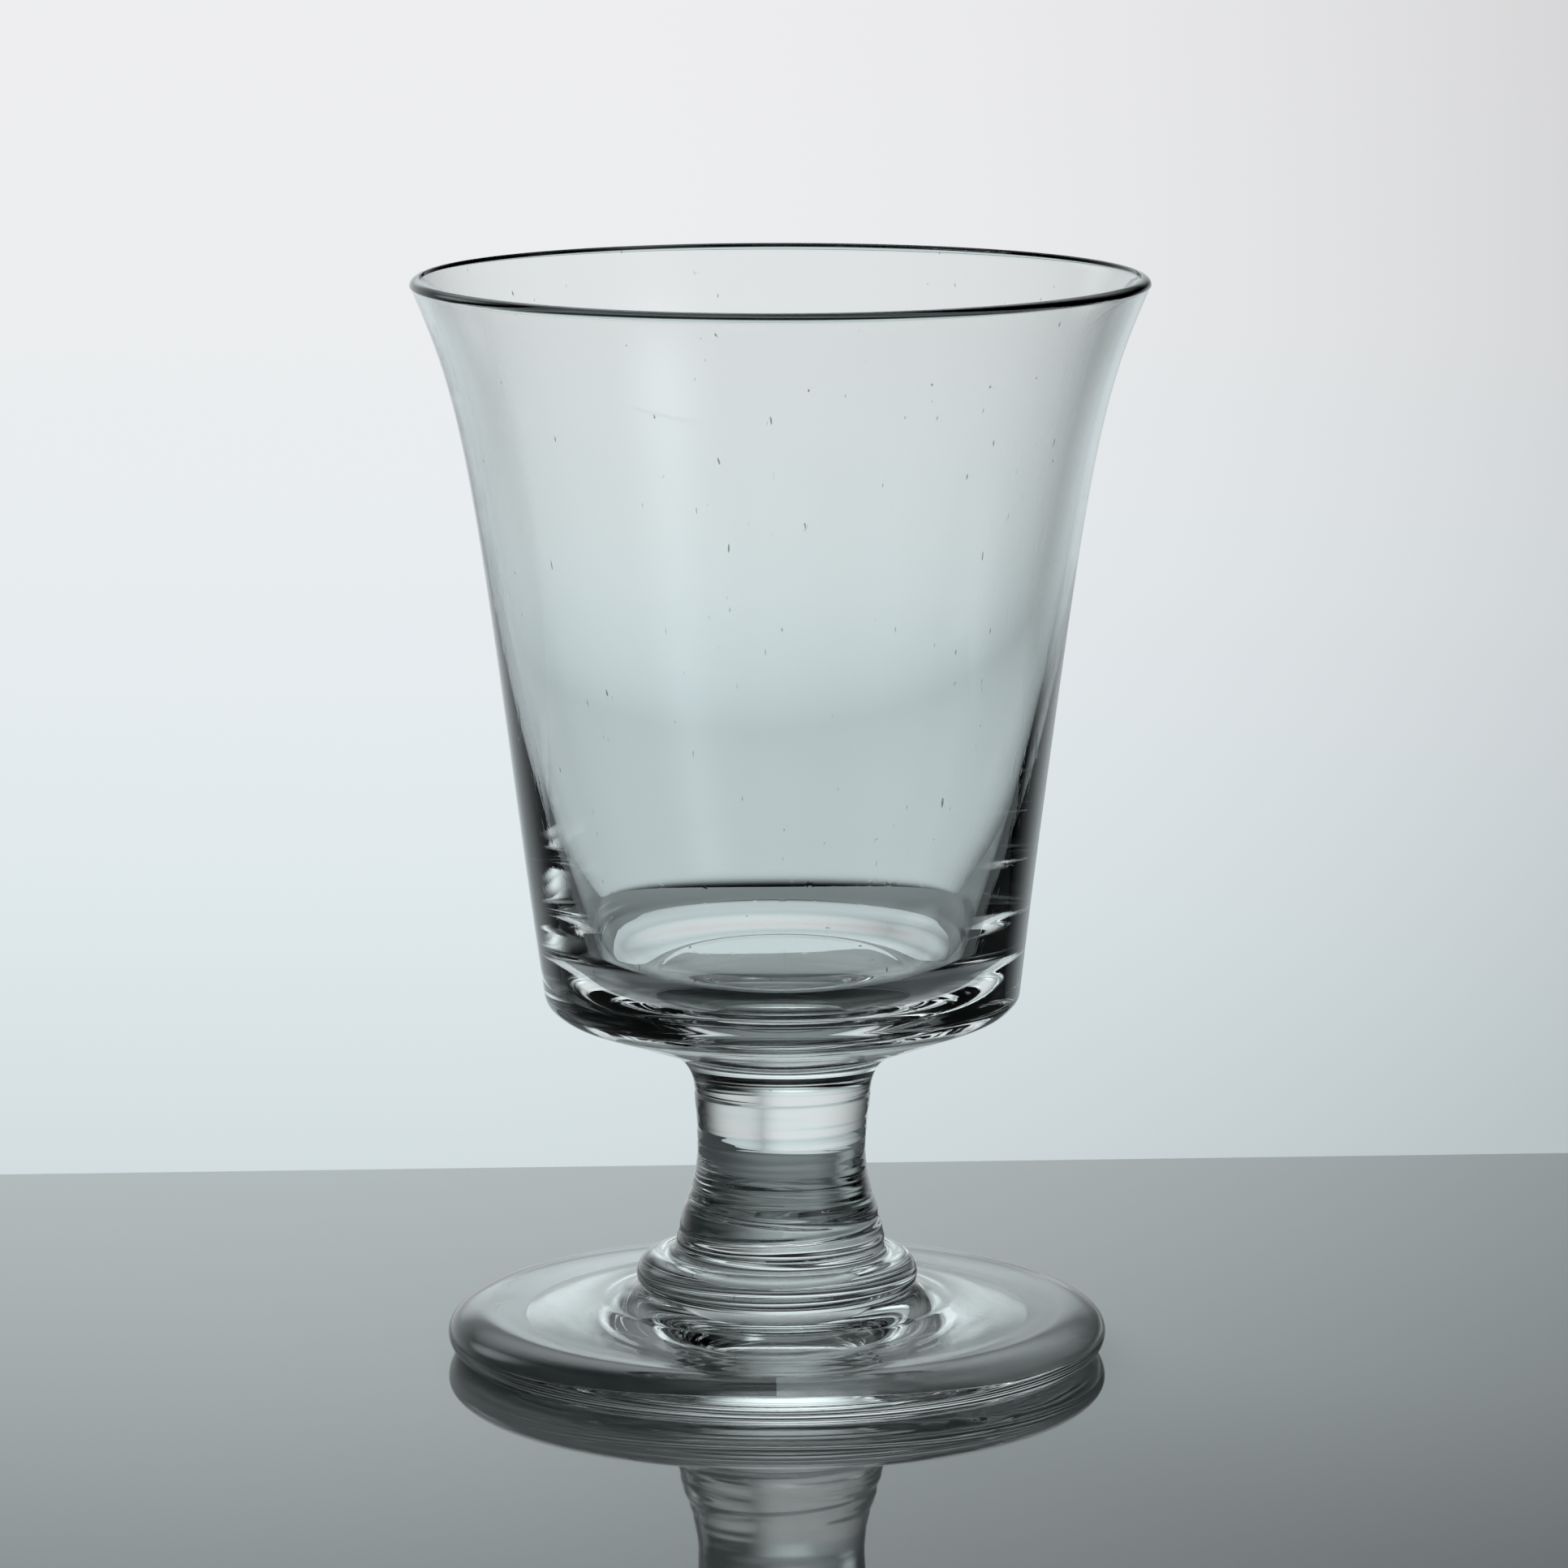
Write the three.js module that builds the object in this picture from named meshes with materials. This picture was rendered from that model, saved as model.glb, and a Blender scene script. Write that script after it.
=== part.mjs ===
// A hand-made rummer: a bucket bowl on a collar, a solid waisted stem, a basal knop and a thick foot.
// Millimetres, +Z up. The origin is on the standing plane, on the axis of the glass.
// The pieces are turned profiles, stacked from the foot up, and each meets the next in a flat fused disc.

import * as THREE from "three";

// Steps round the axis, and along the curves of a profile
const SEGMENTS = 64;
const SHORT_STEPS = 4;
const CORNER_STEPS = 7;
const CURVE_STEPS = 8;
const ROUND_STEPS = 10;
const WALL_STEPS = 12;

// Profile points closer than this are one point
const SAME_POINT = 0.01;

// Foot: a thick disc with a fully rounded edge, rounder above than below, and a low domed middle
const FOOT_RADIUS = 41.15;
const FOOT_EDGE_THICKNESS = 5.9;
const FOOT_EDGE_TOP_ROUND = 5.5;
const FOOT_DOME_RADIUS = 21.6;
const FOOT_DOME_RISE = 2.58;
const FOOT_DOME_TUCK = 1.6;
const FOOT_LAND_RISE = 0.9;
const STANDING_RING_WIDTH = 7.0;
const FOOT_HOLLOW_DEPTH = 0.8;
const PONTIL_RADIUS = 8.5;
const PONTIL_DEPTH = 0.7;

// Basal knop: a rounded ring with a short neck that takes the stem
const KNOP_RADIUS = 17.55;
const KNOP_ROUND_RADIUS = 2.65;
const KNOP_UNDERCUT_DEGREES = 35;
const KNOP_CROWN_DEGREES = 100;
const KNOP_NECK_HEIGHT = 1.5;

// Stem: solid, waisted, and widest where it stands on the knop
const STEM_FOOT_RADIUS = 13.05;
const STEM_WAIST_RADIUS = 10.5;
const STEM_TOP_RADIUS = 11.05;
const STEM_LOWER_HEIGHT = 12.3;
const STEM_UPPER_HEIGHT = 7.0;
const STEM_FOOT_DRAW = 0.55;
const STEM_FOOT_HANDLE = 4.8;
const STEM_WAIST_HANDLE = 5.7;
const STEM_TOP_HANDLE = 2.3;

// Collar: flares from the stem to the underside of the bowl
const COLLAR_TOP_RADIUS = 14.8;
const COLLAR_HEIGHT = 5.3;
const COLLAR_NECK_HEIGHT = 3.6;

// Bowl: a bucket with a thick base, a straight taper and a flared rim
const BOWL_HEIGHT = 96.3;
const BOWL_BASE_RADIUS = 29.57;
const BOWL_UNDERSIDE_RISE = 5.1;
const BOWL_CORNER_ROUND = 4.0;
const BOWL_CORNER_HEIGHT = 7.3;
const WALL_TAPER = 0.1262;
const FLARE = 5.285;
const FLARE_REACH = 11.0;

// Lip: the outside turns upright at the rim and rounds over to the flared inside
const LIP_OUTER_RADIUS = 45.38;
const LIP_HEIGHT = 2.2;
const LIP_ROUND_HEIGHT = 0.85;
const LIP_ROUND_WIDTH = 0.4;
const LIP_INNER_DROP = 0.5;

// Inside of the bowl: the wall thickens downwards and turns in to a floor like a shallow saucer
const WALL_THICKNESS = 1.15;
const RIM_THICKENING = 0.3;
const RIM_THICKENING_REACH = 8.0;
const LOWER_TAPER = 0.223;
const TAPER_HEIGHT = 32.3;
const TAPER_BLEND = 11.6;
const SAUCER_RADIUS = 17.3;
const SAUCER_EDGE_HEIGHT = 7.33;
const SAUCER_EDGE_SLOPE = 0.33;
const SAUCER_EDGE_HANDLE = 2.5;
const SAUCER_SLOPE = 0.3;
const SAUCER_HANDLE = 7.2;
const INNER_CORNER_HEIGHT = 7.45;
const INNER_CORNER_HANDLE = 3.4;

const point = (radius, height) => new THREE.Vector2(radius, height);

// Points on an arc with its centre at (radius, height), between two angles in degrees from the outward side
function arc(radius, height, halfWidth, halfHeight, fromDegrees, toDegrees, steps) {
  const points = [];
  for (let i = 0; i <= steps; i += 1) {
    const angle = THREE.MathUtils.degToRad(THREE.MathUtils.lerp(fromDegrees, toDegrees, i / steps));
    points.push(point(radius + halfWidth * Math.cos(angle), height + halfHeight * Math.sin(angle)));
  }
  return points;
}

// A turned solid about the Z axis, from a profile that starts and ends on the axis
function turned(name, profile, material, baseHeight) {
  const distinct = profile.filter((p, i) => i === 0 || p.distanceTo(profile[i - 1]) > SAME_POINT);
  const geometry = new THREE.LatheGeometry(distinct, SEGMENTS);
  geometry.rotateX(Math.PI / 2);
  const mesh = new THREE.Mesh(geometry, material);
  mesh.name = name;
  mesh.position.z = baseHeight;
  return mesh;
}

function footProfile() {
  const edge = FOOT_EDGE_THICKNESS / 2;
  const edgeCentre = FOOT_RADIUS - edge;
  const ringInside = edgeCentre - STANDING_RING_WIDTH;
  const hollow = new THREE.QuadraticBezierCurve(
    point(PONTIL_RADIUS, FOOT_HOLLOW_DEPTH),
    point((PONTIL_RADIUS + ringInside) / 2, FOOT_HOLLOW_DEPTH),
    point(ringInside, 0),
  );
  const land = FOOT_EDGE_THICKNESS + FOOT_LAND_RISE;
  const topEdge = FOOT_RADIUS - FOOT_EDGE_TOP_ROUND;
  const slope = new THREE.QuadraticBezierCurve(
    point(topEdge, FOOT_EDGE_THICKNESS),
    point((topEdge + FOOT_DOME_RADIUS) / 2, FOOT_EDGE_THICKNESS),
    point(FOOT_DOME_RADIUS, land),
  );
  const dome = new THREE.QuadraticBezierCurve(
    point(FOOT_DOME_RADIUS, land),
    point(knopSeatRadius + FOOT_DOME_TUCK, land),
    point(knopSeatRadius, footHeight),
  );
  return [
    ...arc(0, FOOT_HOLLOW_DEPTH, PONTIL_RADIUS, PONTIL_DEPTH, 90, 0, SHORT_STEPS),
    ...hollow.getPoints(SHORT_STEPS),
    ...arc(edgeCentre, edge, edge, edge, -90, 0, CURVE_STEPS),
    ...arc(topEdge, edge, FOOT_EDGE_TOP_ROUND, edge, 0, 90, CURVE_STEPS),
    ...slope.getPoints(SHORT_STEPS),
    ...dome.getPoints(SHORT_STEPS),
    point(0, footHeight),
  ];
}

function knopProfile() {
  const crown = arc(
    knopRingCentre, knopRingHeight, KNOP_ROUND_RADIUS, KNOP_ROUND_RADIUS,
    -KNOP_UNDERCUT_DEGREES, KNOP_CROWN_DEGREES, ROUND_STEPS,
  );
  const crownEnd = crown[crown.length - 1];
  const neck = new THREE.QuadraticBezierCurve(
    crownEnd,
    point(STEM_FOOT_RADIUS, crownEnd.y),
    point(STEM_FOOT_RADIUS, knopHeight),
  );
  return [point(0, 0), ...crown, ...neck.getPoints(SHORT_STEPS), point(0, knopHeight)];
}

function stemProfile() {
  const lower = new THREE.CubicBezierCurve(
    point(STEM_FOOT_RADIUS, 0),
    point(STEM_FOOT_RADIUS - STEM_FOOT_DRAW, STEM_FOOT_HANDLE),
    point(STEM_WAIST_RADIUS, STEM_LOWER_HEIGHT - STEM_WAIST_HANDLE),
    point(STEM_WAIST_RADIUS, STEM_LOWER_HEIGHT),
  );
  const upper = new THREE.QuadraticBezierCurve(
    point(STEM_WAIST_RADIUS, STEM_LOWER_HEIGHT),
    point(STEM_WAIST_RADIUS, STEM_LOWER_HEIGHT + STEM_TOP_HANDLE),
    point(STEM_TOP_RADIUS, stemHeight),
  );
  return [
    point(0, 0),
    ...lower.getPoints(CURVE_STEPS),
    ...upper.getPoints(SHORT_STEPS),
    point(0, stemHeight),
  ];
}

function collarProfile() {
  const flare = new THREE.QuadraticBezierCurve(
    point(STEM_TOP_RADIUS, 0),
    point(STEM_TOP_RADIUS, COLLAR_NECK_HEIGHT),
    point(COLLAR_TOP_RADIUS, COLLAR_HEIGHT),
  );
  return [point(0, 0), ...flare.getPoints(CURVE_STEPS), point(0, COLLAR_HEIGHT)];
}

// Outside radius of the bowl's wall: a straight taper, and a flare that grows towards the rim
function wallRadius(height) {
  const taper = WALL_TAPER * (height - BOWL_CORNER_HEIGHT);
  const flare = FLARE * Math.exp((height - BOWL_HEIGHT + LIP_ROUND_HEIGHT) / FLARE_REACH);
  return BOWL_BASE_RADIUS + taper + flare;
}

// Thickness of the bowl's wall, measured level: it grows steadily below a height, and a little at the rim
function wallThickness(height) {
  const lower = LOWER_TAPER * TAPER_BLEND * Math.log1p(Math.exp((TAPER_HEIGHT - height) / TAPER_BLEND));
  const rim = RIM_THICKENING * Math.exp((height - BOWL_HEIGHT) / RIM_THICKENING_REACH);
  return WALL_THICKNESS + lower + rim;
}

const innerRadius = (height) => wallRadius(height) - wallThickness(height);

// Heights from one end of the wall to the other
function wallHeights(from, to) {
  return Array.from({ length: WALL_STEPS + 1 }, (unused, step) =>
    THREE.MathUtils.lerp(from, to, step / WALL_STEPS));
}

// The rim, from the top of the outer wall over to the top of the inner wall
function lipProfile(lipStart, lipInner) {
  const wall = point(wallRadius(lipStart), lipStart);
  const wallSlope = wallRadius(lipStart) - wallRadius(lipStart - 1);
  const upright = new THREE.QuadraticBezierCurve(
    wall,
    point(LIP_OUTER_RADIUS, lipStart + (LIP_OUTER_RADIUS - wall.x) / wallSlope),
    point(LIP_OUTER_RADIUS, BOWL_HEIGHT - LIP_ROUND_HEIGHT),
  );
  const crest = LIP_OUTER_RADIUS - LIP_ROUND_WIDTH;
  const inside = new THREE.QuadraticBezierCurve(
    point(crest, BOWL_HEIGHT),
    point(innerRadius(BOWL_HEIGHT), BOWL_HEIGHT),
    point(innerRadius(lipInner), lipInner),
  );
  return [
    ...upright.getPoints(SHORT_STEPS),
    ...arc(crest, BOWL_HEIGHT - LIP_ROUND_HEIGHT, LIP_ROUND_WIDTH, LIP_ROUND_HEIGHT, 0, 90, SHORT_STEPS),
    ...inside.getPoints(SHORT_STEPS),
  ];
}

// The inside below the wall: a rounded corner, then the saucer of the floor
function floorProfile(cornerTop) {
  const wall = point(innerRadius(cornerTop), cornerTop);
  const wallSlope = innerRadius(cornerTop + 1) - wall.x;
  const edge = point(SAUCER_RADIUS, SAUCER_EDGE_HEIGHT);
  const corner = new THREE.CubicBezierCurve(
    wall,
    point(wall.x - wallSlope * INNER_CORNER_HANDLE, cornerTop - INNER_CORNER_HANDLE),
    point(edge.x + SAUCER_EDGE_HANDLE, edge.y + SAUCER_EDGE_HANDLE * SAUCER_EDGE_SLOPE),
    edge,
  );
  const middle = edge.y - SAUCER_SLOPE * (edge.x - SAUCER_HANDLE);
  const saucer = new THREE.QuadraticBezierCurve(edge, point(SAUCER_HANDLE, middle), point(0, middle));
  return [...corner.getPoints(CORNER_STEPS), ...saucer.getPoints(SHORT_STEPS)];
}

function bowlProfile() {
  const lipStart = BOWL_HEIGHT - LIP_HEIGHT;
  const lipInner = BOWL_HEIGHT - LIP_INNER_DROP;
  const cornerTop = SAUCER_EDGE_HEIGHT + INNER_CORNER_HEIGHT;
  const apex = point(wallRadius(BOWL_UNDERSIDE_RISE), BOWL_UNDERSIDE_RISE);
  const joint = point(COLLAR_TOP_RADIUS, 0);
  const roundStart = apex.clone().add(joint.clone().sub(apex).setLength(BOWL_CORNER_ROUND));
  const corner = new THREE.QuadraticBezierCurve(
    roundStart,
    apex,
    point(wallRadius(BOWL_CORNER_HEIGHT), BOWL_CORNER_HEIGHT),
  );
  return [
    point(0, 0),
    joint,
    ...corner.getPoints(CORNER_STEPS),
    ...wallHeights(BOWL_CORNER_HEIGHT, lipStart).map((h) => point(wallRadius(h), h)),
    ...lipProfile(lipStart, lipInner),
    ...wallHeights(lipInner, cornerTop).map((h) => point(innerRadius(h), h)),
    ...floorProfile(cornerTop),
  ];
}

// Places that follow from the driving sizes
const undercut = THREE.MathUtils.degToRad(KNOP_UNDERCUT_DEGREES);
const crownRise = KNOP_ROUND_RADIUS * Math.sin(THREE.MathUtils.degToRad(KNOP_CROWN_DEGREES));
const knopRingCentre = KNOP_RADIUS - KNOP_ROUND_RADIUS;
const knopRingHeight = KNOP_ROUND_RADIUS * Math.sin(undercut);
const knopSeatRadius = knopRingCentre + KNOP_ROUND_RADIUS * Math.cos(undercut);
const knopHeight = knopRingHeight + crownRise + KNOP_NECK_HEIGHT;
const footHeight = FOOT_EDGE_THICKNESS + FOOT_DOME_RISE;
const stemHeight = STEM_LOWER_HEIGHT + STEM_UPPER_HEIGHT;

const stemBase = footHeight + knopHeight;
const collarBase = stemBase + stemHeight;
const bowlBase = collarBase + COLLAR_HEIGHT;

function glass(colour) {
  return new THREE.MeshStandardMaterial({
    color: colour,
    roughness: 0.05,
    metalness: 0,
    transparent: true,
    opacity: 0.35,
  });
}

const rummer = new THREE.Group();
rummer.name = "rummer";
rummer.add(
  turned("foot", footProfile(), glass(0xc6cccc), 0),
  turned("basal_knop", knopProfile(), glass(0xc0c8c8), footHeight),
  turned("stem", stemProfile(), glass(0xc9d0d0), stemBase),
  turned("bowl_collar", collarProfile(), glass(0xc2caca), collarBase),
  turned("bowl", bowlProfile(), glass(0xcfd6d7), bowlBase),
);

export default rummer;
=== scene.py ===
import math

import bpy
import numpy as np
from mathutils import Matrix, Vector


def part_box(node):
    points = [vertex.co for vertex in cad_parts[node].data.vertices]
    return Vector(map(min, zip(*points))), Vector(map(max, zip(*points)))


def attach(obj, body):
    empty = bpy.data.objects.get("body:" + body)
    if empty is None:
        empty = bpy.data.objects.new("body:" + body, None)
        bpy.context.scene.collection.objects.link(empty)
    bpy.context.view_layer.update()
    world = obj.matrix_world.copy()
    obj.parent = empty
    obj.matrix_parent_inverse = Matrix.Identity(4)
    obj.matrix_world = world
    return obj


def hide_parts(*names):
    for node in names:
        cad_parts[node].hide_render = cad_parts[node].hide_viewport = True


# A clear hand-made rummer on a polished table, against a pale backdrop.
# Each piece of glass is one closed, turned mesh with the small faults of hand work.
# Lengths are written in millimetres with the name MM, and reach Blender in metres.
# The angle round the axis starts at the glass's right and runs towards its back.

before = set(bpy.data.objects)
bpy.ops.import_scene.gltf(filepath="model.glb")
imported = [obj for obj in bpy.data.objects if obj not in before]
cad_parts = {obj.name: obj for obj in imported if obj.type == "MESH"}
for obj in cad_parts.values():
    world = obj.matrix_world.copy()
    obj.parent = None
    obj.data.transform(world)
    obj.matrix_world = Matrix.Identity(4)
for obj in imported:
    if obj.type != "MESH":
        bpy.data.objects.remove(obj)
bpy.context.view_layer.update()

MM = 0.001

# Steps round the axis, and rings along each kind of profile
TURN_STEPS = 288
WALL_RINGS = 120
CURVE_RINGS = 26
PONTIL_RINGS = 12
SHORT_RINGS = 8
CAP_RINGS = 3

# Heights of the joints and the outer sizes, from the frame
FOOT_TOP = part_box("foot")[1][2]
KNOP_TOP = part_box("basal_knop")[1][2]
STEM_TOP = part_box("stem")[1][2]
COLLAR_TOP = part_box("bowl_collar")[1][2]
RIM_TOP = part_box("bowl")[1][2]
FOOT_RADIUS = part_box("foot")[1][0]
KNOP_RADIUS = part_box("basal_knop")[1][0]
STEM_FOOT_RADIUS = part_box("stem")[1][0]
COLLAR_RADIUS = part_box("bowl_collar")[1][0]

# Foot
FOOT_EDGE = 2.95 * MM
FOOT_RING_WIDTH = 7.0 * MM
FOOT_HOLLOW = 0.8 * MM
FOOT_EDGE_TOP_ROUND = 5.5 * MM
FOOT_DOME_RADIUS = 21.6 * MM
FOOT_DOME_TUCK = 1.6 * MM
FOOT_LAND = 0.9 * MM
PONTIL_RADIUS = 8.5 * MM
PONTIL_DEPTH = 0.7 * MM

# Basal knop
KNOP_ROUND = 2.65 * MM
KNOP_UNDERCUT = math.radians(35)
KNOP_CROWN = math.radians(100)

# Stem
STEM_WAIST_RADIUS = 10.5 * MM
STEM_TOP_RADIUS = 11.05 * MM
STEM_WAIST_RISE = 12.3 * MM
STEM_FOOT_DRAW = 0.55 * MM
STEM_FOOT_HANDLE = 4.8 * MM
STEM_WAIST_HANDLE = 5.7 * MM
STEM_TOP_HANDLE = 2.3 * MM

# Collar
COLLAR_NECK = 3.6 * MM

# Bowl, outside
BASE_RADIUS = 29.57 * MM
UNDERSIDE_RISE = 5.1 * MM
CORNER_ROUND = 4.0 * MM
CORNER_RISE = 7.3 * MM
WALL_TAPER = 0.1262
FLARE = 5.285 * MM
FLARE_REACH = 11.0 * MM
FLARE_DROP = 0.85 * MM
FLARE_EASE = 0.63 * MM
FLARE_EASE_REACH = 3.0 * MM
LIP_HEIGHT = 1.8 * MM
LIP_OUTSET = 45.38 * MM
LIP_ROUND_HEIGHT = 1.0 * MM
LIP_ROUND_WIDTH = 1.2 * MM
LIP_INNER_DROP = 0.5 * MM

# Bowl, inside
WALL_THICKNESS = 1.15 * MM
LOWER_TAPER = 0.223
TAPER_RISE = 32.3 * MM
TAPER_BLEND = 11.6 * MM
RIM_THICKENING = 0.3 * MM
RIM_THICKENING_REACH = 8.0 * MM
# The middle of the floor is a shallow saucer, with a soft ring where it meets the rising corner
FLOOR_RING_RADIUS = 17.3 * MM
FLOOR_RING_RISE = 7.33 * MM
FLOOR_RING_SLOPE = 0.33
FLOOR_RING_HANDLE = 2.5 * MM
INNER_CORNER_HEIGHT = 7.45 * MM
INNER_CORNER_HANDLE = 3.4 * MM
SAUCER_SLOPE = 0.3
SAUCER_HANDLE = 7.2 * MM

# Faults of hand work: how the axis strays
FOOT_LEAN = -0.45 * MM
FOOT_LEAN_TOP = 1.05 * KNOP_TOP
FOOT_LEAN_EASE = 4 * MM
NECK_LEAN = 0.3 * MM
NECK_LEAN_REACH = 14 * MM

# Faults of hand work: how the outline strays, and the share of each set of waves that shows
OUT_OF_ROUND = 0.08 * MM
OUT_OF_ROUND_FROM = 8 * MM
OUT_OF_ROUND_FULL = 30 * MM
STEM_RIPPLE = 0.45
FINE_RIPPLE = 0.12
WALL_RIPPLE = 0.003
FOOT_RIPPLE = 0.07
# The tool rings run from just above the foot to the base of the bowl, and are calmer at the neck
TOOLED_FROM = FOOT_TOP + 0.3 * MM
TOOLED_FULL = FOOT_TOP + 1.5 * MM
TOOLED_END = COLLAR_TOP + 9.5 * MM
TOOLED_END_EASE = 3 * MM
NECK_CALM = 0.5
NECK_CALM_HEIGHT = STEM_TOP + 2 * MM
NECK_CALM_REACH = 3 * MM
# Bands that the jacks left on the stem: height, tilt, turn, depth and width, in millimetres and radians
TOOL_BANDS = ((18.4, 0.9, 0.2, 0.14, 0.5), (16.3, -0.7, -0.3, 0.12, 0.45), (20.6, 0.5, 0.5, 0.08, 0.6))
# Seams at two joints: height, depth and width
SEAMS = ((STEM_TOP, 0.12 * MM, 0.28 * MM), (KNOP_TOP, 0.1 * MM, 0.25 * MM))

# Faults of hand work: how the heights stray
RIM_TILT = 0.2 * MM
RIM_WAVE = 0.06 * MM
RIM_FAULT_DEPTH = 40 * MM
BASE_DIP = 0.22 * MM
BASE_DIP_HEIGHT = COLLAR_TOP + 4 * MM
BASE_DIP_REACH = 6 * MM
FLOOR_MARK_RISE = 0.06 * MM
FLOOR_MARK_RADIUS = 16.4 * MM
FLOOR_MARK_WIDTH = 0.3 * MM
FLOOR_LOW = COLLAR_TOP + MM
FLOOR_HIGH = COLLAR_TOP + 10 * MM
FLOOR_RADIUS = 20 * MM
FOOT_SWIRL_RADIUS = 24 * MM

# Glass: its colour, and the fine patterns on it
GLASS_IOR = 1.52
CLEAR_TINT = (0.97, 0.995, 0.99)
SOLID_TINT = (0.88, 0.93, 0.92)
SPECK_COLOUR = (0.12, 0.13, 0.12)
SCRATCHES = {"Scale": 900, "Detail": 3}
SCRATCH_LAY = {"Scale": (1.0, 1.0, 0.25), "Rotation": (0.3, 0.2, 0.5)}
SCRATCH_BAND = {"From Min": 0.62, "From Max": 0.75}
SCRATCH_STRENGTH = 0.08
SCRATCH_DEPTH = 0.03 * MM
HAZE = {"Scale": 60, "Detail": 4}
HAZE_BAND = {"From Min": 0.5, "From Max": 0.8}
SEEDS = {"Scale": 75}
SEED_BAND = {"From Min": 0.01, "From Max": 0.02}
NICKS = {"Scale": 1300, "Detail": 1}
NICK_LAY = {"Scale": (1.0, 1.0, 0.2), "Rotation": (0.5, 0.35, 0.2)}
NICK_BAND = {"From Min": 0.83, "From Max": 0.79}

# Camera, as the photograph was taken
CAMERA_SIDE = 0.45 * MM
CAMERA_DISTANCE = 862.06 * MM
CAMERA_HEIGHT = 215.39 * MM
CAMERA_DIP = math.radians(9.45)
CAMERA_LENS = 161.85
CAMERA_SENSOR = 36.0

# Table: its back edge is just behind the glass
TABLE_BACK = 106.8 * MM
TABLE_SKEW = math.tan(math.radians(3.6))
TABLE_HALF_WIDTH = 1.6
TABLE_DEPTH = 2.2
TABLE_COLOUR = (0.4, 0.432, 0.44)
TABLE_ROUGHNESS = 0.03
TABLE_IOR = 1.9

# Backdrop light: soft pools, each at a bearing and a height, with a level and a reach, all angles in degrees.
# A bearing runs from straight behind the glass towards its left, and a height runs up from the horizon.
# left, right, up and down weigh the distance on that side, so a small weight draws the pool out.
# The edge says how a pool ends: 2 is a bell curve, more is flatter with a firmer edge.
POOL_EDGE = 2.8
POOLS = (
    # Behind the glass, for the front view
    dict(bearing_at=3.2, height_at=-6.4, level=0.89, reach=12.4, left=0.25, right=0.75, up=0.4),
    dict(bearing_at=8, height_at=-21, level=0.7, reach=20, left=0.5, right=0.6, up=1.45, down=2.4, edge=6),
    dict(bearing_at=-20, height_at=-7, level=0.74, reach=18, right=0.7, up=1.8, down=1.6),
    # Above the horizon, where the table and the foot mirror it
    dict(bearing_at=5, height_at=11, level=1.3, reach=8, left=0.5, right=0.5, up=1.15, edge=2.4),
    dict(bearing_at=4, height_at=33, level=1.3, reach=17, left=0.6, right=0.55, up=1.1, down=1.2),
    # For the view from the front right corner
    dict(bearing_at=45, height_at=-28, level=0.78, reach=12, up=2.0),
    dict(bearing_at=45, height_at=27, level=1.5, reach=12),
    # For the view from the right
    dict(bearing_at=90, height_at=-6, level=0.85, reach=14, up=1.4),
    # For the view from the back left corner
    dict(bearing_at=-135, height_at=-12, level=0.85, reach=16, up=1.2),
    dict(bearing_at=-135, height_at=17, level=1.15, reach=14, edge=2),
)
# Joining the pools smoothly lifts the dark between them a little, and that lift is taken off again
POOL_BLEND = 0.03
POOL_BLEND_LIFT = 0.024
# The camera sees a plain pale backdrop beside the pools, except within this bearing of straight ahead
PLAIN_LEVEL = 0.72
PALEST_LEVEL = 0.88
AHEAD_NEAR = math.radians(9)
AHEAD_FAR = math.radians(18)
# The backdrop is a little bluer below and above than in its middle
HUE_LOW = math.radians(-13)
HUE_HIGH = math.radians(9)
HUE_MIDDLE = 0.45
LOW_COLOUR = (0.87, 0.97, 1.0, 1)
MIDDLE_COLOUR = (0.985, 0.985, 1.0, 1)
HIGH_COLOUR = (0.89, 0.985, 1.0, 1)

# A soft lamp behind the glass, in metres and watts
LAMP_PLACE = (-0.25, 0.42, 0.35)
LAMP_TARGET = (0, 0.05, 0)
LAMP_SIZE = 0.45
LAMP_POWER = 0.55


def arc(centre, size, start, end, rings):
    """Points on an elliptical arc, by angle from the outward side."""
    return [
        (centre[0] + size[0] * math.cos(a), centre[1] + size[1] * math.sin(a))
        for a in np.linspace(start, end, rings)
    ]


def bezier(points, rings):
    """Points on a Bezier curve of any degree."""
    out = []
    for t in np.linspace(0, 1, rings):
        level = [np.array(p, float) for p in points]
        while len(level) > 1:
            level = [a * (1 - t) + b * t for a, b in zip(level, level[1:])]
        out.append(tuple(level[0]))
    return out


def line(start, end, rings):
    """Points on a straight line."""
    return bezier([start, end], rings)


def bump_ring(z, centre, width):
    """A smooth bump, one at its centre and fading over its width."""
    return np.exp(-(((z - centre) / width) ** 2))


def ease(z, low, high):
    """Zero below low, one above high, smooth between."""
    t = np.clip((z - low) / (high - low), 0, 1)
    return t * t * (3 - 2 * t)


class Ripples:
    """Nearly level waves round the glass, as a tool leaves on turning hot glass."""

    def __init__(self, seed, count, shortest, longest, turns):
        draw = np.random.RandomState(seed)
        self.waves = [
            (
                draw.uniform(0.3, 1.0),
                2 * math.pi / math.exp(draw.uniform(math.log(shortest), math.log(longest))),
                draw.randint(-turns, turns + 1),
                draw.uniform(0, 2 * math.pi),
            )
            for _ in range(count)
        ]

    def __call__(self, phi, z):
        total = 0
        for size, per_height, turn, phase in self.waves:
            total = total + size / per_height * np.cos(per_height * z + turn * phi + phase)
        return total / len(self.waves)


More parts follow.
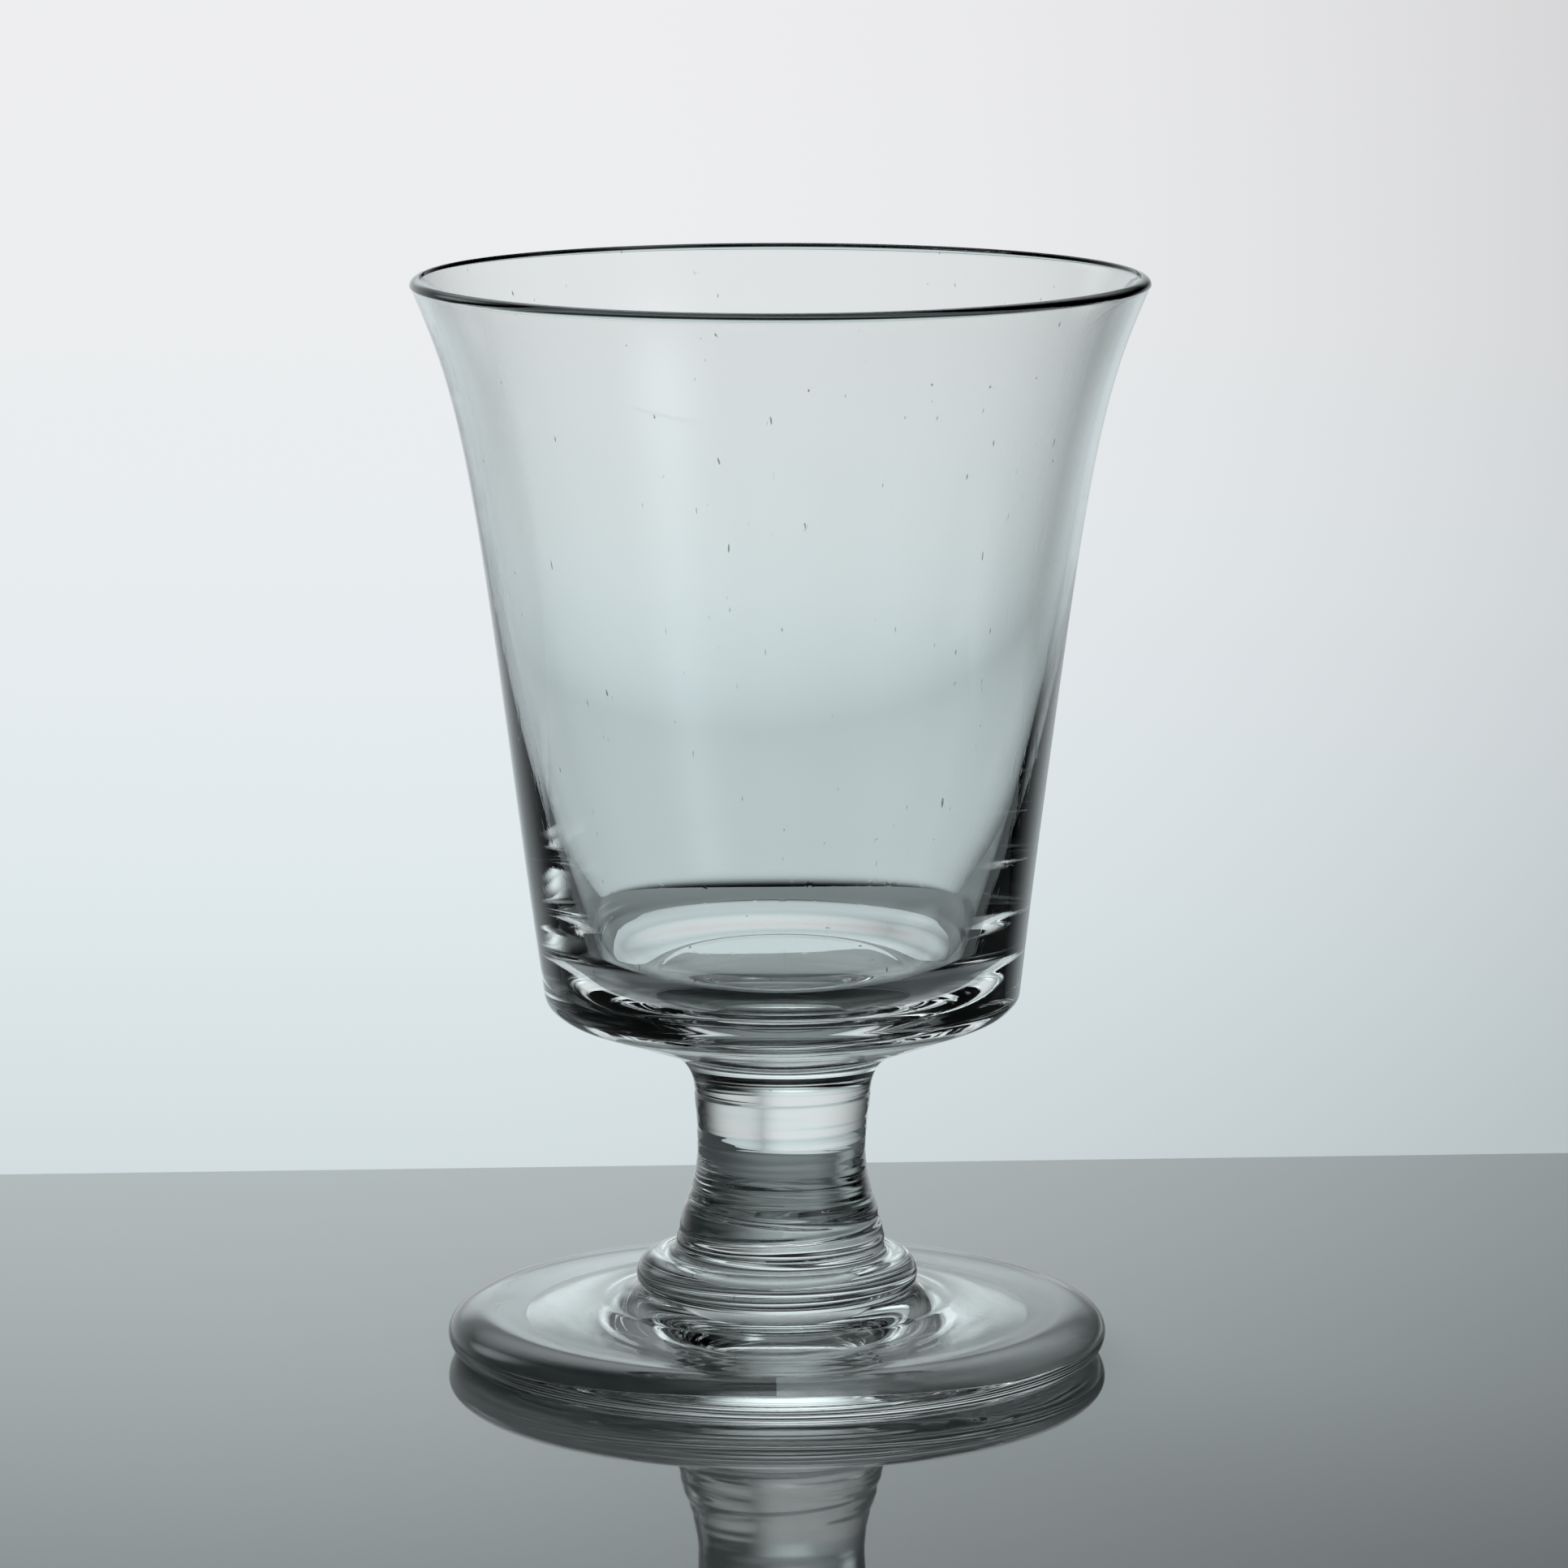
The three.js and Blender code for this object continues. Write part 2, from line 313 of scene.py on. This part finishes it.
stem_ripples = Ripples(seed=11, count=26, shortest=0.7 * MM, longest=5 * MM, turns=2)
fine_ripples = Ripples(seed=5, count=30, shortest=0.35 * MM, longest=1.6 * MM, turns=1)
wall_ripples = Ripples(seed=23, count=18, shortest=6 * MM, longest=30 * MM, turns=3)
foot_ripples = Ripples(seed=31, count=24, shortest=1.5 * MM, longest=9 * MM, turns=2)


def lean(z):
    """How far the axis strays sideways at a height: the foot was stuck on a little to the left."""
    foot = FOOT_LEAN * ease(FOOT_LEAN_TOP - z, 0, FOOT_LEAN_EASE)
    return foot + NECK_LEAN * bump_ring(z, COLLAR_TOP, NECK_LEAN_REACH)


def lift(phi, r, z):
    """Small rise and fall of the glass: the rim and the base aren't quite level, and the foot has a swirl."""
    if r == 0:
        return 0.0
    rim = ease(z, RIM_TOP - RIM_FAULT_DEPTH, RIM_TOP)
    uneven = (RIM_TILT * np.cos(phi - 1.2) + RIM_WAVE * np.cos(2 * phi + 0.4)) * rim
    base = bump_ring(z, BASE_DIP_HEIGHT, BASE_DIP_REACH) * ease(r, COLLAR_RADIUS, BASE_RADIUS)
    on_floor = (z > FLOOR_LOW) & (z < FLOOR_HIGH) & (r < FLOOR_RADIUS)
    mark = FLOOR_MARK_RISE * bump_ring(r, FLOOR_MARK_RADIUS, FLOOR_MARK_WIDTH) * on_floor
    foot_top = ease(z, FOOT_EDGE, 1.8 * FOOT_EDGE) * ease(FOOT_TOP + MM - z, 0, MM)
    swirl = FOOT_RIPPLE * foot_ripples(phi, r) * foot_top * ease(r, KNOP_RADIUS, FOOT_SWIRL_RADIUS)
    return uneven + BASE_DIP * np.cos(phi) * base + mark + swirl


def outer_offset(phi, r, z):
    """Small faults of the outside: out of round, tool rings and bands, seams, and faint waves."""
    offset = OUT_OF_ROUND * np.cos(2 * phi + 0.7) * ease(r, OUT_OF_ROUND_FROM, OUT_OF_ROUND_FULL)
    tooled = ease(z, TOOLED_FROM, TOOLED_FULL) * ease(TOOLED_END - z, 0, TOOLED_END_EASE)
    tooled = tooled * (1 - NECK_CALM * bump_ring(z, NECK_CALM_HEIGHT, NECK_CALM_REACH))
    offset = offset + (STEM_RIPPLE * stem_ripples(phi, z) + FINE_RIPPLE * fine_ripples(phi, z)) * tooled
    for height, tilt, turn, depth, width in TOOL_BANDS:
        offset = offset - depth * MM * bump_ring(z, (height - tilt * np.cos(phi - turn)) * MM, width * MM)
    for height, depth, width in SEAMS:
        offset = offset - depth * bump_ring(z, height, width)
    return offset + WALL_RIPPLE * wall_ripples(phi, z)


def inner_offset(phi, r, z):
    """Faint waves inside the bowl, stronger than those outside and turned against them."""
    return 2 * WALL_RIPPLE * wall_ripples(phi + 1, z)


def wall_radius(z):
    """The bowl's outside: a straight taper with a flare that eases off at the rim."""
    rise = z - COLLAR_TOP
    below_top = z - RIM_TOP + FLARE_DROP
    flare = FLARE * np.exp(below_top / FLARE_REACH) - FLARE_EASE * np.exp(below_top / FLARE_EASE_REACH)
    return BASE_RADIUS + WALL_TAPER * (rise - CORNER_RISE) + flare


def inner_radius(z):
    """The bowl's inside: the wall thickens steadily below a height, and a little at the rim."""
    depth = (TAPER_RISE + COLLAR_TOP - z) / TAPER_BLEND
    thickness = WALL_THICKNESS + LOWER_TAPER * TAPER_BLEND * np.logaddexp(0, depth)
    thickness = thickness + RIM_THICKENING * np.exp((z - RIM_TOP) / RIM_THICKENING_REACH)
    return wall_radius(z) - thickness


def glass_material(name, tint, wear, ground=0.0):
    """Clear glass with seeds, nicks, fine scratches and a thin haze. The tint is taken at each surface."""
    material = bpy.data.materials.new(name)
    material.use_nodes = True
    nodes, links = material.node_tree.nodes, material.node_tree.links

    def add(kind, settings, **sources):
        """A node with its plain values, and its links by the name of the socket."""
        node = nodes.new(kind)
        for socket, value in settings.items():
            node.inputs[socket].default_value = value
        for socket, source in sources.items():
            links.new(source, node.inputs[socket])
        return node.outputs

    place = add("ShaderNodeTexCoord", {})["Object"]
    scratch_lay = add("ShaderNodeMapping", SCRATCH_LAY, Vector=place)["Vector"]
    nick_lay = add("ShaderNodeMapping", NICK_LAY, Vector=place)["Vector"]
    scratches = add("ShaderNodeTexNoise", SCRATCHES, Vector=scratch_lay)["Fac"]
    haze = add("ShaderNodeTexNoise", HAZE, Vector=place)["Fac"]
    seeds = add("ShaderNodeTexVoronoi", SEEDS, Vector=place)["Distance"]
    nicks = add("ShaderNodeTexNoise", NICKS, Vector=nick_lay)["Fac"]

    no_seed = add("ShaderNodeMapRange", SEED_BAND, Value=seeds)["Result"]
    no_nick = add("ShaderNodeMapRange", NICK_BAND, Value=nicks)["Result"]
    clear = nodes.new("ShaderNodeMath")
    clear.operation = "MINIMUM"
    links.new(no_seed, clear.inputs[0])
    links.new(no_nick, clear.inputs[1])
    colour = nodes.new("ShaderNodeMix")
    colour.data_type = "RGBA"
    colour.inputs["A"].default_value = (*SPECK_COLOUR, 1)
    colour.inputs["B"].default_value = (*tint, 1)
    links.new(clear.outputs["Value"], colour.inputs["Factor"])

    roughness = {**HAZE_BAND, "To Min": ground, "To Max": ground + wear}
    rough = add("ShaderNodeMapRange", roughness, Value=haze)["Result"]
    grooves = add("ShaderNodeMapRange", SCRATCH_BAND, Value=scratches)["Result"]
    relief = {"Strength": SCRATCH_STRENGTH + ground, "Distance": SCRATCH_DEPTH}
    bump = add("ShaderNodeBump", relief, Height=grooves)["Normal"]

    shader = nodes["Principled BSDF"]
    shader.inputs["Transmission Weight"].default_value = 1
    shader.inputs["IOR"].default_value = GLASS_IOR
    links.new(colour.outputs["Result"], shader.inputs["Base Color"])
    links.new(rough, shader.inputs["Roughness"])
    links.new(bump, shader.inputs["Normal"])
    return material


def joint_material():
    """A fused joint has no surface of its own: light passes straight through."""
    material = bpy.data.materials.new("fused_joint")
    material.use_nodes = True
    nodes, links = material.node_tree.nodes, material.node_tree.links
    nodes.remove(nodes["Principled BSDF"])
    clear = nodes.new("ShaderNodeBsdfTransparent")
    links.new(clear.outputs["BSDF"], nodes["Material Output"].inputs["Surface"])
    return material


def mark_sharp_borders(mesh):
    """Edges between two materials keep their crease, so a joint's cap doesn't bend the shading beside it."""
    kind_of = {}
    border = set()
    for polygon in mesh.polygons:
        for key in polygon.edge_keys:
            if kind_of.setdefault(key, polygon.material_index) != polygon.material_index:
                border.add(key)
    sharp = mesh.attributes.new("sharp_edge", "BOOLEAN", "EDGE")
    sharp.data.foreach_set("value", [tuple(sorted(e.vertices)) in border for e in mesh.edges])


def turned_piece(name, sections, materials):
    """One closed mesh turned about the axis. A section is its points, its material and its offset."""
    rings = []
    for points, kind, offset in sections:
        start = 1 if rings else 0
        rings += [(r, z, kind, offset) for r, z in points[start:]]
    phi = np.arange(TURN_STEPS) * 2 * math.pi / TURN_STEPS
    verts, faces, kinds = [], [], []
    last = None
    for r, z, kind, offset in rings:
        if r < 1e-9:
            here = [len(verts)]
            verts.append((lean(z), 0, z + lift(0, 0, z)))
        else:
            here = list(range(len(verts), len(verts) + TURN_STEPS))
            radius = r + (offset(phi, r, z) if offset else np.zeros(TURN_STEPS))
            height = z + lift(phi, r, z)
            for a, rad, h in zip(phi, radius, height):
                verts.append((rad * math.cos(a) + lean(z), rad * math.sin(a), h))
        if last is not None:
            for i in range(TURN_STEPS):
                j = (i + 1) % TURN_STEPS
                if len(last) == 1:
                    face = (last[0], here[j], here[i])
                elif len(here) == 1:
                    face = (last[i], last[j], here[0])
                else:
                    face = (last[i], last[j], here[j], here[i])
                faces.append(face)
                kinds.append(kind)
        last = here
    mesh = bpy.data.meshes.new(name)
    mesh.from_pydata(verts, [], faces)
    for material in materials:
        mesh.materials.append(material)
    mesh.polygons.foreach_set("material_index", kinds)
    mesh.polygons.foreach_set("use_smooth", [True] * len(faces))
    mark_sharp_borders(mesh)
    mesh.update()
    piece = bpy.data.objects.new(name, mesh)
    bpy.context.scene.collection.objects.link(piece)
    return piece


bowl_glass = glass_material("bowl_glass", CLEAR_TINT, wear=0.02)
stem_glass = glass_material("stem_glass", SOLID_TINT, wear=0.02)
foot_glass = glass_material("foot_glass", CLEAR_TINT, wear=0.03)
worn_glass = glass_material("worn_standing_ring", CLEAR_TINT, wear=0.25, ground=0.12)
ground_glass = glass_material("ground_pontil_mark", CLEAR_TINT, wear=0.15, ground=0.3)
fused = joint_material()

# Places in each piece's list of materials
GLASS, JOINT, WORN, GROUND = 0, 1, 2, 3


def make_foot():
    """A thick disc on a worn ring, hollow below, with a ground pontil mark and a low domed middle."""
    edge_centre = FOOT_RADIUS - FOOT_EDGE
    ring_inside = edge_centre - FOOT_RING_WIDTH
    land = 2 * FOOT_EDGE + FOOT_LAND
    seat = KNOP_RADIUS - KNOP_ROUND + KNOP_ROUND * math.cos(KNOP_UNDERCUT)
    top_edge = FOOT_RADIUS - FOOT_EDGE_TOP_ROUND
    middle = (top_edge + FOOT_DOME_RADIUS) / 2
    hollow_middle = (PONTIL_RADIUS + ring_inside) / 2
    pontil = arc((0, FOOT_HOLLOW), (PONTIL_RADIUS, PONTIL_DEPTH), math.pi / 2, 0, PONTIL_RINGS)
    pontil[0] = (0, FOOT_HOLLOW + PONTIL_DEPTH)
    hollow = bezier(
        [(PONTIL_RADIUS, FOOT_HOLLOW), (hollow_middle, FOOT_HOLLOW), (ring_inside, 0)],
        CURVE_RINGS,
    )
    ring = line((ring_inside, 0), (edge_centre, 0), SHORT_RINGS)
    edge = arc((edge_centre, FOOT_EDGE), (FOOT_EDGE, FOOT_EDGE), -math.pi / 2, 0, CURVE_RINGS)
    edge += arc((top_edge, FOOT_EDGE), (FOOT_EDGE_TOP_ROUND, FOOT_EDGE), 0, math.pi / 2, 2 * CURVE_RINGS)[1:]
    slope = bezier(
        [(top_edge, 2 * FOOT_EDGE), (middle, 2 * FOOT_EDGE), (FOOT_DOME_RADIUS, land)],
        CURVE_RINGS,
    )
    dome = bezier([(FOOT_DOME_RADIUS, land), (seat + FOOT_DOME_TUCK, land), (seat, FOOT_TOP)], CURVE_RINGS)
    cap = line((seat, FOOT_TOP), (0, FOOT_TOP), CAP_RINGS)
    return turned_piece(
        "foot",
        [
            (pontil, GROUND, None),
            (hollow, GLASS, None),
            (ring, WORN, None),
            (edge, GLASS, outer_offset),
            (slope, GLASS, outer_offset),
            (dome, GLASS, outer_offset),
            (cap, JOINT, outer_offset),
        ],
        [foot_glass, fused, worn_glass, ground_glass],
    )


def make_knop():
    """A rounded ring, undercut at the foot and drawn in to the stem."""
    centre = (KNOP_RADIUS - KNOP_ROUND, FOOT_TOP + KNOP_ROUND * math.sin(KNOP_UNDERCUT))
    crown = arc(centre, (KNOP_ROUND, KNOP_ROUND), -KNOP_UNDERCUT, KNOP_CROWN, 2 * CURVE_RINGS)
    crown_end = crown[-1]
    neck = bezier([crown_end, (STEM_FOOT_RADIUS, crown_end[1]), (STEM_FOOT_RADIUS, KNOP_TOP)], CURVE_RINGS)
    bottom = line((0, FOOT_TOP), crown[0], CAP_RINGS)
    top = line((STEM_FOOT_RADIUS, KNOP_TOP), (0, KNOP_TOP), CAP_RINGS)
    return turned_piece(
        "basal_knop",
        [
            (bottom, JOINT, outer_offset),
            (crown, GLASS, outer_offset),
            (neck, GLASS, outer_offset),
            (top, JOINT, outer_offset),
        ],
        [stem_glass, fused],
    )


def make_stem():
    """A short solid stem with a waist."""
    waist = KNOP_TOP + STEM_WAIST_RISE
    lower = bezier(
        [
            (STEM_FOOT_RADIUS, KNOP_TOP),
            (STEM_FOOT_RADIUS - STEM_FOOT_DRAW, KNOP_TOP + STEM_FOOT_HANDLE),
            (STEM_WAIST_RADIUS, waist - STEM_WAIST_HANDLE),
            (STEM_WAIST_RADIUS, waist),
        ],
        3 * CURVE_RINGS,
    )
    upper = bezier(
        [
            (STEM_WAIST_RADIUS, waist),
            (STEM_WAIST_RADIUS, waist + STEM_TOP_HANDLE),
            (STEM_TOP_RADIUS, STEM_TOP),
        ],
        2 * CURVE_RINGS,
    )
    bottom = line((0, KNOP_TOP), (STEM_FOOT_RADIUS, KNOP_TOP), CAP_RINGS)
    top = line((STEM_TOP_RADIUS, STEM_TOP), (0, STEM_TOP), CAP_RINGS)
    return turned_piece(
        "stem",
        [
            (bottom, JOINT, outer_offset),
            (lower, GLASS, outer_offset),
            (upper, GLASS, outer_offset),
            (top, JOINT, outer_offset),
        ],
        [stem_glass, fused],
    )


def make_collar():
    """A collar that flares out from the stem to the bowl."""
    flare = bezier(
        [(STEM_TOP_RADIUS, STEM_TOP), (STEM_TOP_RADIUS, STEM_TOP + COLLAR_NECK), (COLLAR_RADIUS, COLLAR_TOP)],
        2 * CURVE_RINGS,
    )
    bottom = line((0, STEM_TOP), (STEM_TOP_RADIUS, STEM_TOP), CAP_RINGS)
    top = line((COLLAR_RADIUS, COLLAR_TOP), (0, COLLAR_TOP), CAP_RINGS)
    return turned_piece(
        "bowl_collar",
        [
            (bottom, JOINT, outer_offset),
            (flare, GLASS, outer_offset),
            (top, JOINT, outer_offset),
        ],
        [stem_glass, fused],
    )


def make_bowl():
    """A bucket bowl: sloping underside, rounded corner, tapered wall, rounded lip, then the inside."""
    lip_start = RIM_TOP - LIP_HEIGHT
    lip_inner = RIM_TOP - LIP_INNER_DROP
    lip_top = (LIP_OUTSET - LIP_ROUND_WIDTH, RIM_TOP)
    lip_out = (LIP_OUTSET, RIM_TOP - LIP_ROUND_HEIGHT)
    apex = np.array((wall_radius(COLLAR_TOP + UNDERSIDE_RISE), COLLAR_TOP + UNDERSIDE_RISE))
    joint = np.array((COLLAR_RADIUS, COLLAR_TOP))
    towards = (joint - apex) / np.linalg.norm(joint - apex)
    round_start = tuple(apex + towards * CORNER_ROUND)
    corner_top = COLLAR_TOP + CORNER_RISE
    underside = line(tuple(joint), round_start, CURVE_RINGS)
    corner = bezier([round_start, tuple(apex), (wall_radius(corner_top), corner_top)], CURVE_RINGS)
    wall = [(wall_radius(z), z) for z in np.linspace(corner_top, lip_start, WALL_RINGS)]
    slope = (wall_radius(lip_start) - wall_radius(lip_start - MM)) / MM
    bend = (LIP_OUTSET, lip_start + (LIP_OUTSET - wall_radius(lip_start)) / slope)
    lip = bezier([wall[-1], bend, lip_out], CURVE_RINGS)
    lip += arc((lip_top[0], lip_out[1]), (LIP_ROUND_WIDTH, LIP_ROUND_HEIGHT), 0, math.pi / 2, CURVE_RINGS)[1:]
    lip_inside = (inner_radius(lip_inner), lip_inner)
    lip += bezier([lip_top, (inner_radius(RIM_TOP), RIM_TOP), lip_inside], SHORT_RINGS)[1:]
    ring = (FLOOR_RING_RADIUS, COLLAR_TOP + FLOOR_RING_RISE)
    inner_top = ring[1] + INNER_CORNER_HEIGHT
    inner = [(inner_radius(z), z) for z in np.linspace(lip_inner, inner_top, 2 * WALL_RINGS)]
    inner_low = inner_radius(inner_top)
    inner_slope = (inner_radius(inner_top + MM) - inner_low) / MM
    inner_corner = bezier(
        [
            (inner_low, inner_top),
            (inner_low - inner_slope * INNER_CORNER_HANDLE, inner_top - INNER_CORNER_HANDLE),
            (ring[0] + FLOOR_RING_HANDLE, ring[1] + FLOOR_RING_HANDLE * FLOOR_RING_SLOPE),
            ring,
        ],
        2 * CURVE_RINGS,
    )
    middle = ring[1] - SAUCER_SLOPE * (ring[0] - SAUCER_HANDLE)
    floor = bezier([ring, (SAUCER_HANDLE, middle), (0, middle)], 5 * CURVE_RINGS)
    bottom = line((0, COLLAR_TOP), tuple(joint), CAP_RINGS)
    return turned_piece(
        "bowl",
        [
            (bottom, JOINT, outer_offset),
            (underside, GLASS, outer_offset),
            (corner, GLASS, outer_offset),
            (wall, GLASS, outer_offset),
            (lip, GLASS, outer_offset),
            (inner, GLASS, inner_offset),
            (inner_corner, GLASS, inner_offset),
            (floor, GLASS, inner_offset),
        ],
        [bowl_glass, fused],
    )


# Each solid's node, what makes the piece that replaces it, and its slot
PIECES = (
    ("foot", make_foot, "foot_glass"),
    ("basal_knop", make_knop, "stem_glass"),
    ("stem", make_stem, "stem_glass"),
    ("bowl_collar", make_collar, "stem_glass"),
    ("bowl", make_bowl, "bowl_glass"),
)

for node, make, slot in PIECES:
    piece = make()
    piece.name = node + "_glass"
    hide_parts(node)
    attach(piece, "root")


def make_table():
    """A polished table that mirrors the pale backdrop. Its back edge runs a little askew behind the glass."""
    half = TABLE_HALF_WIDTH
    corners = [
        (-half, TABLE_BACK - half * TABLE_SKEW, 0),
        (half, TABLE_BACK + half * TABLE_SKEW, 0),
        (half, -TABLE_DEPTH, 0),
        (-half, -TABLE_DEPTH, 0),
    ]
    mesh = bpy.data.meshes.new("table")
    mesh.from_pydata(corners, [], [(3, 2, 1, 0)])
    table = bpy.data.objects.new("table", mesh)
    bpy.context.scene.collection.objects.link(table)
    material = bpy.data.materials.new("pale_table")
    material.use_nodes = True
    shader = material.node_tree.nodes["Principled BSDF"]
    shader.inputs["Base Color"].default_value = (*TABLE_COLOUR, 1)
    shader.inputs["Roughness"].default_value = TABLE_ROUGHNESS
    shader.inputs["IOR"].default_value = TABLE_IOR
    mesh.materials.append(material)


def make_world():
    """The pools of light in a dim room, and a plain pale backdrop that only the camera sees."""
    world = bpy.data.worlds.new("studio")
    bpy.context.scene.world = world
    world.use_nodes = True
    nodes, links = world.node_tree.nodes, world.node_tree.links
    nodes.clear()

    def compute(kind, *values):
        """A Math node. Each value is a number, or another node's output."""
        node = nodes.new("ShaderNodeMath")
        node.operation = kind
        for socket, value in zip(node.inputs, values):
            if isinstance(value, (int, float)):
                socket.default_value = value
            else:
                links.new(value, socket)
        return node.outputs[0]

    def remap(value, low, high, interpolation="LINEAR"):
        """Zero at low and one at high."""
        node = nodes.new("ShaderNodeMapRange")
        node.interpolation_type = interpolation
        node.inputs["From Min"].default_value = low
        node.inputs["From Max"].default_value = high
        links.new(value, node.inputs["Value"])
        return node.outputs["Result"]

    place = nodes.new("ShaderNodeTexCoord")
    axes = nodes.new("ShaderNodeSeparateXYZ")
    links.new(place.outputs["Generated"], axes.inputs["Vector"])
    side, away, up_part = axes.outputs
    bearing = compute("ARCTAN2", compute("MULTIPLY", side, -1), away)
    height = compute("ARCSINE", up_part)

    def pool(bearing_at, height_at, level, reach, left=1.0, right=1.0, up=1.0, down=1.0, edge=POOL_EDGE):
        """One pool's light in the direction that is looked in."""
        across = compute("SUBTRACT", bearing, math.radians(bearing_at))
        across = compute("MAXIMUM", compute("MULTIPLY", across, left), compute("MULTIPLY", across, -right))
        above = compute("SUBTRACT", height, math.radians(height_at))
        above = compute("MAXIMUM", compute("MULTIPLY", above, up), compute("MULTIPLY", above, -down))
        square = compute("ADD", compute("MULTIPLY", across, across), compute("MULTIPLY", above, above))
        fall = compute("POWER", compute("DIVIDE", square, math.radians(reach) ** 2), edge / 2)
        return compute("MULTIPLY", compute("EXPONENT", compute("MULTIPLY", fall, -1)), level)

    seen = 0.0
    for settings in POOLS:
        seen = compute("SMOOTH_MAX", pool(**settings), seen, POOL_BLEND)
    seen = compute("MAXIMUM", compute("SUBTRACT", seen, POOL_BLEND_LIFT), 0.0)

    to_right = remap(bearing, -AHEAD_FAR, -AHEAD_NEAR, "SMOOTHSTEP")
    to_left = remap(bearing, AHEAD_FAR, AHEAD_NEAR, "SMOOTHSTEP")
    ahead = compute("MULTIPLY", to_right, to_left)
    plain = compute("MULTIPLY", compute("SUBTRACT", 1.0, ahead), PLAIN_LEVEL)
    camera_level = compute("MINIMUM", compute("MAXIMUM", seen, plain), PALEST_LEVEL)
    path = nodes.new("ShaderNodeLightPath")
    level = nodes.new("ShaderNodeMix")
    links.new(path.outputs["Is Camera Ray"], level.inputs["Factor"])
    links.new(seen, level.inputs["A"])
    links.new(camera_level, level.inputs["B"])

    hue = nodes.new("ShaderNodeValToRGB")
    hue.color_ramp.interpolation = "EASE"
    hue.color_ramp.elements[0].color = LOW_COLOUR
    hue.color_ramp.elements[1].color = HIGH_COLOUR
    hue.color_ramp.elements.new(HUE_MIDDLE).color = MIDDLE_COLOUR
    links.new(remap(height, HUE_LOW, HUE_HIGH), hue.inputs["Fac"])
    background = nodes.new("ShaderNodeBackground")
    links.new(hue.outputs["Color"], background.inputs["Color"])
    links.new(level.outputs["Result"], background.inputs["Strength"])
    output = nodes.new("ShaderNodeOutputWorld")
    links.new(background.outputs["Background"], output.inputs["Surface"])


def make_lamp():
    """A round softbox behind the glass, which isn't seen in the glass or in the table."""
    data = bpy.data.lights.new("backdrop_softbox", "AREA")
    data.shape = "DISK"
    data.size = LAMP_SIZE
    data.energy = LAMP_POWER
    lamp = bpy.data.objects.new("backdrop_softbox", data)
    lamp.location = LAMP_PLACE
    lamp.rotation_mode = "QUATERNION"
    lamp.rotation_quaternion = (Vector(LAMP_TARGET) - Vector(LAMP_PLACE)).to_track_quat("-Z", "Y")
    lamp.visible_glossy = False
    lamp.visible_transmission = False
    bpy.context.scene.collection.objects.link(lamp)


def make_camera():
    """The camera stands in front of the glass and looks down on it a little."""
    data = bpy.data.cameras.new("camera")
    data.lens = CAMERA_LENS
    data.sensor_width = CAMERA_SENSOR
    camera = bpy.data.objects.new("camera", data)
    camera.location = (CAMERA_SIDE, -CAMERA_DISTANCE, CAMERA_HEIGHT)
    camera.rotation_euler = (math.pi / 2 - CAMERA_DIP, 0, 0)
    bpy.context.scene.collection.objects.link(camera)
    bpy.context.scene.camera = camera


make_table()
make_world()
make_lamp()
make_camera()

scene = bpy.context.scene
scene.view_settings.view_transform = "Standard"
# Light passes through many faces of glass before it leaves
scene.cycles.max_bounces = 32
scene.cycles.transmission_bounces = 28
scene.cycles.glossy_bounces = 12
scene.cycles.transparent_max_bounces = 40
